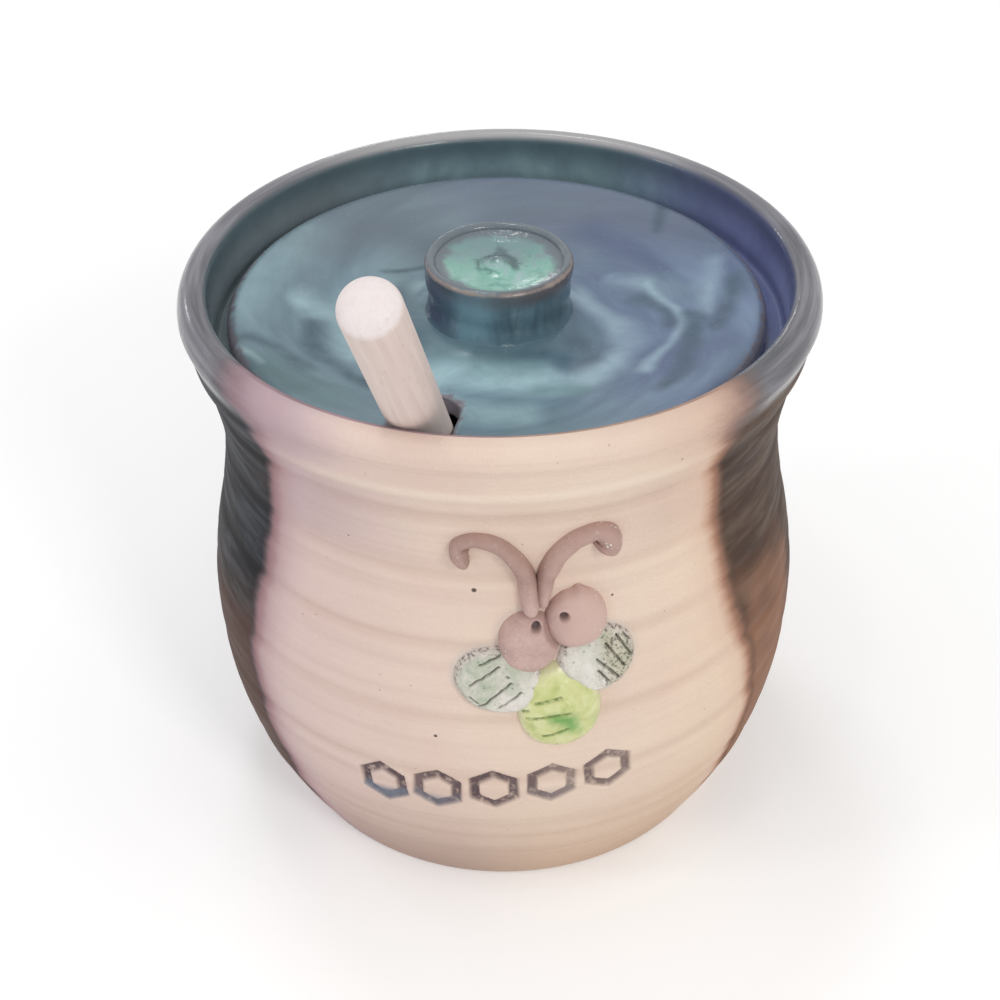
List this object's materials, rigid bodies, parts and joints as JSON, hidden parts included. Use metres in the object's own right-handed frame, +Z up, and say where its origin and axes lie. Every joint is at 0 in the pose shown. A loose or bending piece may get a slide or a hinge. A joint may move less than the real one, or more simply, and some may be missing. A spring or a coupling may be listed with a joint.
{
  "type": "honey pot",
  "caption": "Round stoneware honey pot with a flared rim, a knobbed lift-off lid sunk on an inner ledge, a leaning wooden dipper in the lid's notch and an applied clay bee.",
  "frame": {"origin": "centre of the pot's flat foot, on the surface that it stands on", "axes": "+Z up along the pot's axis; -Y is the front, where the bee is; +X to the right as seen from the front"},
  "size_m": [0.1088, 0.1239, 0.1398],
  "materials": {
    "bare_clay": "matte buff stoneware, glazed at the sides, back and inside",
    "lid_glaze": "gloss, mottled teal and blue",
    "knob_glaze": "gloss, dark teal, breaking brown at the lip",
    "pale_wood": "fine sanded, unfinished",
    "brown_clay": "matte, unglazed",
    "wing_glaze": "gloss, clear, over incised lines",
    "abdomen_glaze": "gloss, yellow green"
  },
  "bodies": {
    "pot": {"pot_body": "bare_clay", "bee_eye_left": "brown_clay", "bee_eye_right": "brown_clay", "bee_antenna_left": "brown_clay", "bee_antenna_right": "brown_clay", "bee_wing_left": "wing_glaze", "bee_wing_right": "wing_glaze", "bee_abdomen": "abdomen_glaze"},
    "lid": {"lid_disc": "lid_glaze", "lid_knob": "knob_glaze"},
    "dipper": {"dipper_handle": "pale_wood", "dipper_head": "pale_wood"}
  },
  "joints": [
    {"name": "lid_lift", "type": "slide", "parent": "pot", "child": "lid", "axis": [0, 0, 1], "range_m": [0, 0.06]},
    {"name": "dipper_draw", "type": "slide", "parent": "pot", "child": "dipper", "axis": [-0.0992, -0.5865, 0.8039], "range_m": [0, 0.05]}
  ]
}
